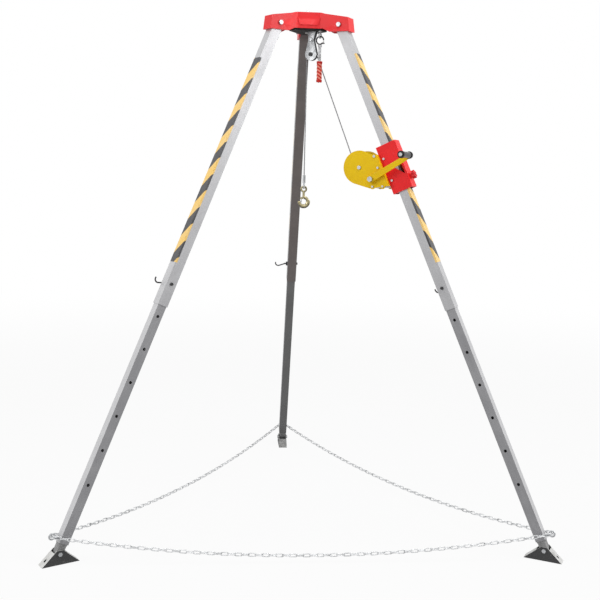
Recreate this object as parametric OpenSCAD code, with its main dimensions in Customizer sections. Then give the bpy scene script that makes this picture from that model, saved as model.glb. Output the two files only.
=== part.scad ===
// Rescue tripod: folding head, three telescopic legs, winch, wire rope, hook and a chain between the feet.

/* [Legs] */
// tilt of a deployed leg from the vertical, in degrees
leg_tilt = 24; // [16:0.5:30]
// radius of the leg hinges about the tripod's axis
hinge_radius = 162; // [150:1:190]
// outside width of the square upper tube
upper_w = 45; // [42:0.5:50]
// wall of the upper and the lower tube
tube_wall = 2.5; // [2:0.25:3]
// clearance on each side between the lower and the upper tube
tube_gap = 0.5; // [0.4:0.1:0.8]
// upper tube above its hinge
upper_over = 12; // [10:0.5:14]
// upper tube below its hinge
upper_below = 1298; // [1200:1:1400]
// lock pin above the lower end of the upper tube
pin_above_end = 93; // [80:1:110]
// spacing of the pin holes
hole_pitch = 140; // [130:1:150]
// number of pin positions
hole_count = 7; // [5:1:7]
// lower tube above the lock pin
lower_over = 45; // [35:1:60]
// foot pivot below the last pin hole
pivot_below_hole = 272; // [250:1:300]
// diameter of the lock pin
pin_d = 12; // [10:0.5:13]
// radial clearance of the lock pin in its holes
pin_gap = 0.4; // [0.3:0.05:0.6]

/* [Head] */
// thickness of the head's cheeks
cheek_t = 7; // [6:0.5:9]
// clearance between a leg and a cheek
cheek_gap = 1; // [0.6:0.1:1.5]
// top of the head above the leg hinges
head_top = 55; // [50:1:62]
// lower face of the head's hub below the leg hinges
hub_drop = 14; // [10:1:18]
// top of an arm's end above the leg hinges
arm_end_top = 30; // [26:1:36]
// lower edge of the arms below the leg hinges
arm_drop = 29; // [25:1:33]
// outer end of an arm beyond its hinge
arm_reach = 45; // [42:1:55]
// thickness of the head's top
head_top_t = 8; // [6:0.5:10]
// distance of the head's flat faces from the axis
hub_face = 63; // [58:1:70]
// diameter of the hinge bolts
hinge_bolt_d = 12; // [10:0.5:14]
// thickness of the spreader plate under the head
spread_t = 8; // [6:0.5:10]

/* [Feet] */
// height of the foot pivot over the floor
pivot_h = 41; // [38:0.5:46]
// diameter of the foot pivot bolt
foot_bolt_d = 10; // [8:0.5:12]
// thickness of the shoe's plates
shoe_t = 4; // [3:0.5:5]
// shoe length outward of the pivot
shoe_out = 70; // [64:1:80]
// shoe length inward of the pivot
shoe_in = 80; // [72:1:90]
// lower tube ends this far above the foot pivot
tube_over_pivot = 38; // [36:1:44]
// chain eye above the foot pivot, along the leg
eye_over_pivot = 50; // [48:1:60]
// chain eye's ring centre from the leg's centre line
eye_out = 50; // [48:1:54]

/* [Winch] */
// drum axis inward of the leg's centre line
drum_in = 140; // [134:1:150]
// drum axis below the leg hinge, along the leg
drum_down = 606; // [560:1:660]
// tooth size of the winch gears
gear_module = 2.5; // [2.4:0.05:2.6]
// teeth of the drum gear
drum_teeth = 48; // [44:4:52]
// teeth of the pinion
pinion_teeth = 12; // [12:1:14]
// direction from the drum axis to the pinion, in degrees
pinion_dir = -64; // [-70:1:-58]
// radius of the wound rope's centre line
wind_r = 33; // [30:0.5:36]
// loops of rope in the outer layer
wind_loops = 5; // [4:1:5]
// clear width between the winch side plates
frame_gap = 90; // [88:1:96]
// thickness of the winch side plates
frame_t = 3; // [2.5:0.5:4]
// radius of the round cover plate
cover_r = 72; // [70:1:76]
// crank arm length between its axes
crank_len = 200; // [180:1:220]
// crank arm direction, in degrees from the outward normal
crank_dir = 7; // [0:1:15]
// length of the grip
grip_len = 105; // [95:1:120]
// length of the winch bracket along the leg
bracket_len = 212; // [200:1:230]

/* [Rope and hook] */
// diameter of the wire rope
rope_d = 5; // [4.5:0.1:5.2]
// radius of the rope's centre line on the sheave
sheave_r = 22; // [20:0.5:24]
// sheave axle below the leg hinges
sheave_drop = 120; // [113:1:127]
// rope end below the leg hinges
rope_drop = 664; // [500:1:700]

/* [Chain] */
// wire diameter of a chain link
link_d = 4; // [3.6:0.1:4.4]
// inside length of a chain link, which is its pitch
link_pitch = 26; // [24:0.5:28]
// outside width of a chain link
link_w = 15; // [14:0.5:17]
// sag of a chain span at its middle
chain_sag = 76; // [60:1:78]

/* [Hidden] */
red = [0.85, 0.16, 0.18];
yellow = [0.93, 0.77, 0.12];
silver = [0.76, 0.77, 0.79];
steel = [0.6, 0.61, 0.63];
dark = [0.22, 0.22, 0.23];
black = [0.08, 0.08, 0.08];
zinc = [0.78, 0.7, 0.4];
fine = 48;
run_gap = 0.05;
seat = 0.3;
angles = [210, -30, 90];
left = 0;
right = 1;
rear = 2;

lower_w = upper_w - 2 * tube_wall - 2 * tube_gap;
pin_s = upper_below - pin_above_end;
pivot_s = pin_s + (hole_count - 1) * hole_pitch + pivot_below_hole;
travel = (hole_count - 1) * hole_pitch;
hinge_z = pivot_s * cos(leg_tilt) + pivot_h;
pivot_radius = hinge_radius + pivot_s * sin(leg_tilt);
channel_w = upper_w + 2 * cheek_gap;
arm_w = channel_w + 2 * cheek_t;
swing_r = norm([upper_over, upper_w / 2]) + 0.8;
spread_corner = hub_face * 1.35;
hub_z = hinge_z - hub_drop;

ankle_w = lower_w - 2 * tube_wall;
shoe_inner = ankle_w + 1;
shoe_w = shoe_inner + 2 * shoe_t;
shoe_top = pivot_h + 14;
axis_y = -((pivot_radius + shoe_out) / 2 - shoe_w / 2 * cos(30)) / 2;

gear_r = gear_module * drum_teeth / 2;
pinion_r = gear_module * pinion_teeth / 2;
drum_x = -drum_in;
drum_z = -drum_down;
pinion_x = drum_x + (gear_r + pinion_r) * cos(pinion_dir);
pinion_z = drum_z + (gear_r + pinion_r) * sin(pinion_dir);
wind_pitch = rope_d + 0.6;
barrel_r = wind_r - rope_d / 2 - 0.3;
drum_half = wind_loops * wind_pitch + 3;
flange_r = wind_r + 14;
flange_t = 2.5;
gear_y0 = -drum_half - flange_t - 8;
gear_t = 7;
plate_y = frame_gap / 2;
bracket_in = 47;
bracket_out = 43;
bracket_wall = 4;
bracket_half = upper_w / 2 + 1.5 + bracket_wall;
bracket_top = -(drum_down - 50);
bracket_mid = bracket_top - bracket_len / 2;
saddle_z = [bracket_mid + 49, bracket_mid - 49];
knob_z = bracket_mid - 58;
crank_y = -(plate_y + frame_t + 9);
arm_t = 6;
grip_x = pinion_x + crank_len * cos(crank_dir);
grip_z = pinion_z + crank_len * sin(crank_dir);
axle_d = 10;
crank_nut_d = 24;
tie_d = 6;
saddle_bolt_d = 6;
shaft_d = 16;

// the drum and the sheave in the right leg's upright plane, as distance from the axis and height
drum_rho = hinge_radius + drum_down * sin(leg_tilt) - drum_in * cos(leg_tilt);
drum_h = hinge_z - drum_down * cos(leg_tilt) - drum_in * sin(leg_tilt);
sheave_h = hinge_z - sheave_drop;
// the taut line leaves the sheave on its outer side and meets the drum on its inner side
line_dx = drum_rho - sheave_r;
line_dz = drum_h - sheave_h;
line_span = norm([line_dx, line_dz]);
line_dir = atan2(line_dz, line_dx);
line_turn = asin((sheave_r + wind_r) / line_span);
line_len = sqrt(line_span * line_span - pow(sheave_r + wind_r, 2));
leave_dir = line_dir + 90 - line_turn;
meet_dir = leave_dir + 180;
// direction of the taut line, and the same place on the drum in the leg's own frame
run_dir = leave_dir - 90;
wind_dir = meet_dir - leg_tilt;

eye_s = pivot_s - eye_over_pivot;
eye_radius = hinge_radius + eye_s * sin(leg_tilt) + eye_out * cos(leg_tilt);
eye_h = hinge_z - eye_s * cos(leg_tilt) + eye_out * sin(leg_tilt);
// the link in an eye rests on the eye's inner side, and a span leaves from each of its ends
eye_ring_r = 11;
eye_wire = 3;
chain_radius = eye_radius - (eye_ring_r - eye_wire - link_w / 2 - seat);
link_slack = 0.6;
link_r = (link_w - link_d) / 2;
link_lap = (link_d + link_slack) / 2;
link_count = floor(chain_radius * sqrt(3) / link_pitch / 2) * 2 - 1;
link_step = (chain_radius * sqrt(3) - link_r + link_lap) / (link_count + 0.5);
link_half = link_step / 2 + link_lap - link_r;
span_len = link_count * link_step;

// the anchor eye, out along the right leg and off its plane
snap_out = 68;
snap_off = -15;
ring_z = hub_z - spread_t - 19;
loop_r = 17;
loop_wire = 3;
ring_r = 11;
ring_wire = 3.5;
loop_z = ring_z - ring_r - loop_r + ring_wire + seat + loop_wire;
// the rope end's ring hangs in the hook's eye, and the rope is held in the ferrule over that ring
hook_eye_r = 11;
hook_eye_wire = 4;
hook_eye_over = 4;
thimble_r = 12;
thimble_wire = 3.5;
hook_pivot = hook_eye_over + hook_eye_r - hook_eye_wire - seat - thimble_wire;
thimble_over = hook_pivot + thimble_r;
ferrule_h = 35;
rope_tuck = 15.2;
ferrule_over = thimble_over + thimble_r - 1;
hook_z = hinge_z - rope_drop + rope_tuck - ferrule_h - ferrule_over;

// placing

// along a leg's azimuth, with the origin on the floor under the tripod's axis
module on_azimuth(i) {
    translate([0, axis_y, 0])
        rotate([0, 0, angles[i]])
            children();
}

// in a leg's own frame: hinge at the origin, +X out of the outer face, -Z down the leg
module on_leg(i) {
    on_azimuth(i)
        translate([hinge_radius, 0, hinge_z])
            rotate([0, -leg_tilt, 0])
                children();
}

// at a leg's foot pivot, upright
module on_foot(i) {
    on_azimuth(i)
        translate([pivot_radius, 0, 0])
            children();
}

// the same shape, or its mirror image across the leg's middle plane
module sided(side) {
    mirror([0, side < 0 ? 1 : 0, 0])
        children();
}

// a side view in X and Z, extruded along Y about the middle
module slab(thick) {
    rotate([90, 0, 0])
        linear_extrude(thick, center = true)
            children();
}

// a side view in X and Z, extruded from y0 to y1
module slab_between(y0, y1) {
    translate([0, y1, 0])
        rotate([90, 0, 0])
            linear_extrude(y1 - y0)
                children();
}

// a round bar along Y from y0 to y1
module bar_y(d, y0, y1) {
    translate([0, y1, 0])
        rotate([90, 0, 0])
            cylinder(h = y1 - y0, d = d, $fn = fine);
}

// a hexagon along Y from y0 to y1
module hex_y(d, y0, y1) {
    translate([0, y1, 0])
        rotate([90, 0, 0])
            cylinder(h = y1 - y0, d = d, $fn = 6);
}

// a bolt along Y: head at y0, nut at y1, with the shank between
module bolt_y(d, y0, y1, head_h) {
    union() {
        bar_y(d, y0 - head_h / 2, y1 + head_h);
        hex_y(d * 1.75, y0 - head_h, y0);
        hex_y(d * 1.75, y1, y1 + head_h * 0.9);
    }
}

// a length of a ring of wire in X and Z, from one angle to another
module wire_arc(r, wire_r, from, to) {
    rotate([90, 0, 0])
        rotate([0, 0, from])
            rotate_extrude(angle = to - from, $fn = fine)
                translate([r, 0])
                    circle(wire_r, $fn = 24);
}

// head

module arm_outline() {
    polygon([
        [0, hub_z], [0, hinge_z + head_top], [hub_face, hinge_z + head_top],
        [hinge_radius + arm_reach - 4, hinge_z + arm_end_top],
        [hinge_radius + arm_reach + 4, hinge_z - arm_drop],
        [hinge_radius - arm_reach, hinge_z - arm_drop], [spread_corner + 2, hub_z]
    ]);
}

module arm_channel() {
    roof = hinge_z + arm_end_top - head_top_t;
    translate([hinge_radius, hinge_z])
        circle(swing_r, $fn = fine);
    translate([hinge_radius, hinge_z])
        rotate(leg_tilt)
            translate([-upper_w / 2 - seat, -120])
                square([upper_w + 2 * seat, 120]);
    polygon([
        [hub_face - 20, hinge_z - 60], [hub_face - 20, hinge_z + head_top - head_top_t],
        [hinge_radius, roof], [hinge_radius + upper_w / 2 + 0.8, hinge_z],
        [hinge_radius + upper_w / 2 + 0.8, hinge_z - 60]
    ]);
}

module hub_block(face, height) {
    rotate([0, 0, 90])
        cylinder(h = height, r = face * 2, $fn = 3);
}

module face_pad() {
    translate([0, -hub_face, hinge_z])
        rotate([90, 0, 0])
            linear_extrude(5, center = true)
                polygon([[-39, 15 - hub_drop], [39, 15 - hub_drop], [51, head_top - 24], [-51, head_top - 24]]);
}

module head_shell() {
    color(red)
        difference() {
            union() {
                for (i = [left, right, rear])
                    on_azimuth(i)
                        slab(arm_w)
                            arm_outline();
                translate([0, axis_y, hub_z])
                    intersection() {
                        hub_block(hub_face, head_top + hub_drop);
                        cylinder(h = head_top + hub_drop, r = hub_face * 1.28, $fn = fine);
                    }
                translate([0, axis_y, 0])
                    for (a = [0, 120, 240])
                        rotate([0, 0, a])
                            face_pad();
            }
            translate([0, axis_y, hub_z - 1])
                cylinder(h = head_top + hub_drop - head_top_t + 1, r = hub_face - cheek_t, $fn = fine);
            for (i = [left, right, rear])
                on_azimuth(i) {
                    slab(channel_w)
                        arm_channel();
                    translate([hinge_radius, 0, hinge_z])
                        bar_y(hinge_bolt_d + 0.1, -arm_w, arm_w);
                }
            translate([0, axis_y, hinge_z])
                cylinder(h = head_top * 2, d = 12.4, $fn = fine);
        }
}

module hinge_bolt(i, side) {
    color(silver)
        on_azimuth(i)
            translate([hinge_radius, 0, hinge_z])
                sided(side)
                    bolt_y(hinge_bolt_d, -arm_w / 2 - 0.1, arm_w / 2 + 0.1, 8);
}

module spreader_plate() {
    color(dark)
        translate([0, axis_y, hub_z - spread_t])
            difference() {
                intersection() {
                    hub_block(hub_face - 1, spread_t);
                    cylinder(h = spread_t, r = spread_corner, $fn = fine);
                }
                translate([0, 0, -1])
                    cylinder(h = spread_t + 2, d = 12.4, $fn = fine);
                rotate([0, 0, angles[right]])
                    translate([snap_out, snap_off, -1])
                        cylinder(h = spread_t + 2, d = 8.2, $fn = fine);
            }
}

module center_bolt() {
    color(silver)
        translate([0, axis_y, hinge_z])
            union() {
                translate([0, 0, -hub_drop - spread_t - 7])
                    cylinder(h = head_top + hub_drop + spread_t + 25, d = 12, $fn = fine);
                translate([0, 0, -hub_drop - spread_t - 7])
                    cylinder(h = 6.9, d = 21, $fn = 6);
                translate([0, 0, head_top + 0.1])
                    cylinder(h = 9, d = 21, $fn = 6);
            }
}

module anchor_eye() {
    color(steel)
        on_azimuth(right)
            translate([snap_out, snap_off, 0])
                union() {
                    translate([0, 0, ring_z + ring_r])
                        cylinder(h = hub_z - ring_z - ring_r + 10, d = 8, $fn = fine);
                    translate([0, 0, hub_z + 0.1])
                        cylinder(h = 7, d = 14, $fn = 6);
                    translate([0, 0, hub_z - spread_t - 4])
                        cylinder(h = 3.9, d = 18, $fn = fine);
                    translate([0, 0, ring_z])
                        rotate([0, 0, 90])
                            wire_arc(ring_r, ring_wire, 0, 360);
                }
}

// pulley

// in the right leg's upright plane, with the sheave's axle at the origin
module at_sheave() {
    on_azimuth(right)
        translate([sheave_r, 0, sheave_h])
            children();
}

lug_h = sheave_drop - hub_drop - spread_t - 34;

module pulley_bracket() {
    color(steel)
        at_sheave() {
            for (side = [-1, 1])
                sided(side)
                    difference() {
                        slab_between(10, 14)
                            polygon([[-9, lug_h - 10], [9, lug_h - 10], [22, lug_h + 34], [-22 + 8, lug_h + 34]]);
                        translate([0, 0, lug_h])
                            bar_y(10.2, 0, 30);
                    }
            translate([0, 0, lug_h])
                bolt_y(10, -14.1, 14.1, 6);
        }
}

module pulley_plates() {
    color(silver)
        at_sheave()
            for (side = [-1, 1])
                sided(side)
                    difference() {
                        slab_between(7, 9.7)
                            union() {
                                circle(27, $fn = fine);
                                polygon([[-26, 7], [26, 7], [11, lug_h + 5], [-11, lug_h + 5]]);
                                translate([0, lug_h])
                                    circle(12, $fn = fine);
                            }
                        translate([0, 0, lug_h])
                            bar_y(10.2, 0, 20);
                        bar_y(12.2, 0, 20);
                    }
}

module pulley_axle() {
    color(steel)
        at_sheave()
            union() {
                bar_y(12, -13, 13);
                bar_y(18, -14, -10);
                bar_y(18, 10, 14);
            }
}

module sheave() {
    color(black)
        at_sheave()
            rotate([90, 0, 0])
                rotate_extrude($fn = fine)
                    difference() {
                        translate([6 + run_gap, -6])
                            square([sheave_r + rope_d - 6 - run_gap, 12]);
                        translate([sheave_r, 0])
                            circle(rope_d / 2 + 0.3, $fn = 24);
                        translate([sheave_r, 0])
                            polygon([[0, -rope_d / 2 - 0.3], [9, -rope_d], [9, rope_d], [0, rope_d / 2 + 0.3]]);
                    }
}

// legs

module tube(outer, wall, z0, z1) {
    translate([0, 0, z0])
        linear_extrude(z1 - z0)
            difference() {
                square(outer, center = true);
                square(outer - 2 * wall, center = true);
            }
}

module upper_leg(i) {
    color(silver)
        on_leg(i)
            difference() {
                tube(upper_w, tube_wall, -upper_below, upper_over);
                bar_y(hinge_bolt_d + 0.1, -upper_w, upper_w);
                translate([0, 0, -pin_s])
                    bar_y(pin_d + 2 * pin_gap, -upper_w, upper_w);
            }
}

module lower_leg(i) {
    color(silver)
        on_leg(i)
            difference() {
                tube(lower_w, tube_wall, -pivot_s + tube_over_pivot, -pin_s + lower_over);
                for (k = [0 : hole_count - 1])
                    translate([0, 0, -pin_s - k * hole_pitch])
                        bar_y(pin_d + 2 * pin_gap, -upper_w, upper_w);
                translate([0, 0, -eye_s])
                    rotate([0, 90, 0])
                        cylinder(h = upper_w, d = 8.2, $fn = fine);
            }
}

module ankle(i) {
    color(steel)
        on_leg(i)
            translate([0, 0, -pivot_s])
                difference() {
                    union() {
                        bar_y(26, -ankle_w / 2 + seat, ankle_w / 2 - seat);
                        translate([-ankle_w / 2 + 2, -ankle_w / 2 + seat, 0])
                            cube([ankle_w - 4, ankle_w - 2 * seat, tube_over_pivot]);
                        translate([-ankle_w / 2 + seat, -ankle_w / 2 + seat, tube_over_pivot - 6])
                            cube([ankle_w - 2 * seat, ankle_w - 2 * seat, 6 + 35]);
                    }
                    bar_y(foot_bolt_d + 2 * run_gap, -upper_w, upper_w);
                    translate([0, 0, pivot_s - eye_s])
                        rotate([0, 90, 0])
                            cylinder(h = upper_w, d = 8.2, $fn = fine);
                }
}

module chain_eye(i) {
    color(steel)
        on_leg(i)
            translate([0, 0, -eye_s])
                union() {
                    rotate([0, 90, 0])
                        cylinder(h = eye_out - 10, d = 8, $fn = fine);
                    translate([lower_w / 2 + 0.1, 0, 0])
                        rotate([0, 90, 0])
                            cylinder(h = 6, d = 14, $fn = 6);
                    translate([eye_out, 0, 0])
                        wire_arc(eye_ring_r, eye_wire, 0, 360);
                }
}

// feet

module shoe_side() {
    polygon([[-shoe_in, 0], [shoe_out, 0], [12, shoe_top], [-12, shoe_top]]);
}

module shoe(i) {
    color(dark)
        on_foot(i)
            difference() {
                union() {
                    for (side = [-1, 1])
                        sided(side)
                            slab_between(shoe_inner / 2, shoe_w / 2)
                                shoe_side();
                    intersection() {
                        slab(shoe_w)
                            shoe_side();
                        slab(shoe_w)
                            union() {
                                polygon([[shoe_out, 0], [shoe_out - 7, 0], [20, pivot_h + 3], [26, pivot_h + 20]]);
                                polygon([[-shoe_in, 0], [-shoe_in + 8, 0], [-32, pivot_h - 8], [-36, pivot_h + 6]]);
                                translate([-shoe_in, 0])
                                    square([shoe_in + shoe_out, 4]);
                            }
                    }
                }
                translate([0, 0, pivot_h])
                    bar_y(foot_bolt_d + 0.1, -shoe_w, shoe_w);
                translate([shoe_out - 20, 0, 0])
                    cylinder(h = shoe_top * 2, d = 11, center = true, $fn = fine);
            }
}

module foot_bolt(i, side) {
    color(silver)
        on_foot(i)
            translate([0, 0, pivot_h])
                sided(side)
                    bolt_y(foot_bolt_d, -shoe_w / 2 - 0.1, shoe_w / 2 + 0.1, 6);
}

// lock pins, with the handle on one side of the leg
module lock_pin(i, side, turn, swing) {
    color(black)
        on_leg(i)
            translate([0, 0, -pin_s])
                sided(side)
                    union() {
                        bar_y(pin_d, -upper_w / 2 - 8, upper_w / 2 + 6);
                        bar_y(pin_d + 8, -upper_w / 2 - 8, -upper_w / 2 - 0.4);
                        translate([0, -upper_w / 2 - 12, 0]) {
                            bar_y(7, -5, 6);
                            rotate([0, 0, swing])
                                rotate([0, turn, 0]) {
                                    translate([0, 0, -32])
                                        cylinder(h = 32, d = 6, $fn = 24);
                                    translate([14, 0, -32])
                                        wire_arc(14, 3, 180, 310);
                                }
                        }
                    }
}

// winch

module at_drum() {
    on_leg(right)
        translate([drum_x, 0, drum_z])
            children();
}

module at_pinion() {
    on_leg(right)
        translate([pinion_x, 0, pinion_z])
            children();
}

module winch_bracket() {
    h = bracket_half;
    color(red)
        on_leg(right)
            difference() {
                union() {
                    difference() {
                        translate([-bracket_in, -h, bracket_top - bracket_len])
                            cube([bracket_in + bracket_out, 2 * h, bracket_len]);
                        translate([-bracket_in + bracket_wall, -h + bracket_wall, bracket_top - bracket_len - 1])
                            cube([bracket_in + bracket_out - 2 * bracket_wall, 2 * (h - bracket_wall), bracket_len + 2]);
                    }
                    for (z = saddle_z)
                        translate([-bracket_in + 1, -h + 1, z - 15])
                            cube([bracket_in - 1 - upper_w / 2 - seat, 2 * h - 2, 30]);
                    translate([bracket_out - 1, 0, knob_z])
                        rotate([0, 90, 0])
                            cylinder(h = 9, d = 24, $fn = fine);
                }
                for (z = saddle_z)
                    translate([-bracket_in + 16, 0, z])
                        bar_y(saddle_bolt_d + 0.2, -2 * h, 2 * h);
                slab_between(-h - 1, -h + bracket_wall + 0.5)
                    polygon([
                        [-16, bracket_mid + 12], [18, bracket_mid + 22], [34, bracket_mid - 6], [34, bracket_mid - 44],
                        [14, bracket_mid - 20]
                    ]);
                translate([0, 0, knob_z])
                    rotate([0, 90, 0])
                        cylinder(h = 200, d = 12 + 2 * run_gap, $fn = fine);
            }
}

module bracket_bolts() {
    color(silver)
        on_leg(right)
            for (z = saddle_z)
                translate([-bracket_in + 16, 0, z])
                    bolt_y(saddle_bolt_d, -bracket_half - 0.1, bracket_half + 0.1, 4);
}

module clamp_knob() {
    color(red)
        on_leg(right)
            translate([upper_w / 2 + seat, 0, knob_z])
                rotate([0, 90, 0])
                    union() {
                        cylinder(h = 45, d = 12, $fn = fine);
                        translate([0, 0, bracket_out + 8.4 - upper_w / 2])
                            linear_extrude(14)
                                union() {
                                    circle(13, $fn = fine);
                                    for (a = [0 : 60 : 300])
                                        rotate(a)
                                            translate([13, 0])
                                                circle(5, $fn = 24);
                                }
                    }
}

module frame_outline() {
    edge = -bracket_in - seat;
    translate([drum_x, drum_z])
        circle(cover_r, $fn = fine);
    translate([pinion_x, pinion_z])
        circle(pinion_cover_r, $fn = fine);
    polygon([
        [drum_x, drum_z],
        [drum_x + cover_r * cos(cover_edge), drum_z + cover_r * sin(cover_edge)],
        [pinion_x + pinion_cover_r * cos(cover_edge), pinion_z + pinion_cover_r * sin(cover_edge)],
        [pinion_x, pinion_z]
    ]);
    polygon([
        [drum_x, drum_z + cover_r - 2], [edge, saddle_z[0] + 26], [edge, saddle_z[1] - 18],
        [pinion_x, pinion_z - pinion_cover_r], [pinion_x - 34, pinion_z - 20]
    ]);
    for (p = tie_points)
        translate(p)
            circle(tie_boss, $fn = fine);
}

tie_boss = 11;
pinion_cover_r = 40;
// direction of the straight edge that touches both round covers
cover_edge = pinion_dir - acos((cover_r - pinion_cover_r) / (gear_r + pinion_r));
tie_points = [
    [pinion_x - 8, pinion_z - 31], [-bracket_in - 26, saddle_z[1] - 10], [-bracket_in - 16, saddle_z[0] - 27]
];
pawl_x = drum_x + (gear_r + 22) * cos(12);
pawl_z = drum_z + (gear_r + 22) * sin(12);

module winch_frame() {
    edge = -bracket_in - 0.1;
    color(yellow)
        on_leg(right)
            difference() {
                union() {
                    slab_between(-plate_y - frame_t, -plate_y)
                        frame_outline();
                    slab_between(plate_y, plate_y + frame_t)
                        frame_outline();
                    translate([edge - 4, -plate_y - 1, saddle_z[1] - 18])
                        cube([4, 2 * plate_y + 2, saddle_z[0] - saddle_z[1] + 44]);
                }
                translate([drum_x, 0, drum_z])
                    bar_y(axle_d + 0.1, -80, 80);
                translate([pinion_x, 0, pinion_z])
                    bar_y(shaft_d + 2 * run_gap, -80, 80);
                for (p = tie_points)
                    translate([p[0], 0, p[1]])
                        bar_y(tie_d + 0.1, -80, 80);
                translate([pawl_x, 0, pawl_z])
                    bar_y(8.1, -80, 0);
            }
}

module frame_bolts() {
    color(steel)
        on_leg(right)
            for (p = tie_points)
                translate([p[0], 0, p[1]])
                    union() {
                        bolt_y(tie_d, -plate_y - frame_t - 0.1, plate_y + frame_t + 0.1, 4);
                        bar_y(13, -plate_y + 0.1, plate_y - 0.1);
                    }
}

module drum_axle() {
    color(steel)
        at_drum()
            bolt_y(axle_d, -plate_y - frame_t - 0.1, plate_y + frame_t + 0.1, 4);
}

module drum() {
    color(steel)
        at_drum()
            difference() {
                union() {
                    bar_y(2 * barrel_r, -drum_half - 1, drum_half + 1);
                    bar_y(2 * flange_r, -drum_half - flange_t, -drum_half);
                    bar_y(2 * flange_r, drum_half, drum_half + flange_t);
                    bar_y(30, drum_half, plate_y - 0.4);
                }
                bar_y(axle_d + 2 * run_gap, -80, 80);
            }
}

// a spur gear's outline: straight-sided teeth about the pitch radius
module gear_outline(teeth, turn) {
    pitch_r = gear_module * teeth / 2;
    root_r = pitch_r - 1.2 * gear_module;
    tip_r = pitch_r + 0.85 * gear_module;
    part = 360 / teeth;
    polygon([
        for (k = [0 : teeth - 1], c = [[root_r, -0.3], [tip_r, -0.11], [tip_r, 0.11], [root_r, 0.3]])
            c[0] * [cos(turn + (k + c[1]) * part), sin(turn + (k + c[1]) * part)]
    ]);
}

module drum_gear() {
    color(steel)
        at_drum()
            difference() {
                union() {
                    slab_between(gear_y0, gear_y0 + gear_t)
                        gear_outline(drum_teeth, pinion_dir);
                    bar_y(30, -plate_y + 0.4, -drum_half - flange_t - 0.1);
                }
                bar_y(axle_d + 2 * run_gap, -80, 80);
            }
}

module pinion() {
    color(steel)
        at_pinion()
            union() {
                slab_between(gear_y0 - 0.5, gear_y0 + gear_t + 0.5)
                    gear_outline(pinion_teeth, pinion_dir + 180 + 180 / pinion_teeth);
                bar_y(shaft_d, crank_y - arm_t - 4, plate_y + frame_t + 4);
                bar_y(22, plate_y + frame_t + 0.4, plate_y + frame_t + 5);
            }
}

module crank_arm() {
    color(yellow)
        at_pinion()
            rotate([0, -crank_dir, 0])
                difference() {
                    slab_between(crank_y - arm_t, crank_y)
                        union() {
                            circle(16, $fn = fine);
                            translate([crank_len, 0])
                                circle(11, $fn = fine);
                            polygon([[0, -14], [crank_len, -10.5], [crank_len, 10.5], [0, 14]]);
                        }
                    bar_y(shaft_d + 0.1, -200, 200);
                    translate([crank_len, 0, 0])
                        bar_y(10.2, -200, 200);
                }
}

module crank_nut() {
    color(steel)
        at_pinion()
            difference() {
                hex_y(crank_nut_d, crank_y - arm_t - 9, crank_y - arm_t - 0.1);
                bar_y(shaft_d + 0.1, crank_y - arm_t - 5, 0);
            }
}

module at_grip() {
    on_leg(right)
        translate([grip_x, 0, grip_z])
            children();
}

module grip_pin() {
    color(silver)
        at_grip()
            union() {
                bar_y(10, crank_y - arm_t - grip_len - 8, crank_y + 4);
                bar_y(15, crank_y - arm_t - grip_len - 8, crank_y - arm_t - grip_len - 1);
                bar_y(15, crank_y + 0.1, crank_y + 5);
            }
}

module grip() {
    y0 = crank_y - arm_t - grip_len - 0.6;
    y1 = crank_y - arm_t - 0.6;
    color(black)
        at_grip()
            difference() {
                union() {
                    bar_y(26, y0, y1);
                    bar_y(31, y0, y0 + 8);
                    bar_y(31, y1 - 8, y1);
                }
                bar_y(10 + 2 * run_gap, y0 - 1, y1 + 1);
            }
}

module pawl_pin() {
    color(steel)
        on_leg(right)
            translate([pawl_x, 0, pawl_z])
                union() {
                    bar_y(8, -plate_y - frame_t - 2, gear_y0 + gear_t + 4);
                    bar_y(11, -plate_y - frame_t - 3, -plate_y - frame_t - 0.1);
                }
}

module pawl() {
    y0 = gear_y0 + 0.4;
    y1 = gear_y0 + gear_t - 0.4;
    color(dark)
        on_leg(right)
            translate([pawl_x, 0, pawl_z])
                difference() {
                    union() {
                        bar_y(16, y0, y1);
                        slab_between(y0, y1)
                            polygon([[0, 0], [-8, 2], [-17.5, 14], [-16, 18], [-11, 17], [3, 7]]);
                    }
                    bar_y(8 + 2 * run_gap, y0 - 1, y1 + 1);
                }
}

// the rope wound on the drum, as one tube of 6 sides and 24 rings a loop

// ring centre at step k, about the drum's axis, which is along Y
function wind_point(k) =
    let (a = wind_dir + k * 15, y = -min(k / 24, wind_loops) * wind_pitch)
        [wind_r * cos(a), -y, wind_r * sin(a)];

wind_steps = wind_loops * 24;
wind_path = [for (k = [0 : wind_steps]) wind_point(k)];
wind_gap = min([for (k = [24 : wind_steps]) norm(wind_path[k] - wind_path[k - 24])]) - rope_d;
echo(rope_winding_least_gap_mm = wind_gap);

// one ring of a tube about a point, across the direction along the path
function ring_at(path, k, r, sides) =
    let (
        ahead = path[min(k + 1, len(path) - 1)],
        behind = path[max(k - 1, 0)],
        along = (ahead - behind) / norm(ahead - behind),
        side_raw = cross(along, [0.02, 0.99, 0.05]),
        side = side_raw / norm(side_raw),
        up = cross(side, along)
    )
        [for (j = [0 : sides - 1]) path[k] + r * (cos(360 * j / sides) * side + sin(360 * j / sides) * up)];

// triangles of a tube with the given number of rings and sides, closed at both ends
function tube_faces(rings, sides) = concat(
    [for (k = [0 : rings - 2], j = [0 : sides - 1]) [k * sides + j, (k + 1) * sides + j, k * sides + (j + 1) % sides]],
    [
        for (k = [0 : rings - 2], j = [0 : sides - 1])
            [(k + 1) * sides + j, (k + 1) * sides + (j + 1) % sides, k * sides + (j + 1) % sides]
    ],
    [for (j = [1 : sides - 2]) [0, j, j + 1]],
    [for (j = [1 : sides - 2]) let (e = (rings - 1) * sides) [e, e + j + 1, e + j]]
);

module rope_tube(path, r, sides) {
    points = [for (k = [0 : len(path) - 1]) each ring_at(path, k, r, sides)];
    polyhedron(points, tube_faces(len(path), sides));
}

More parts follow.
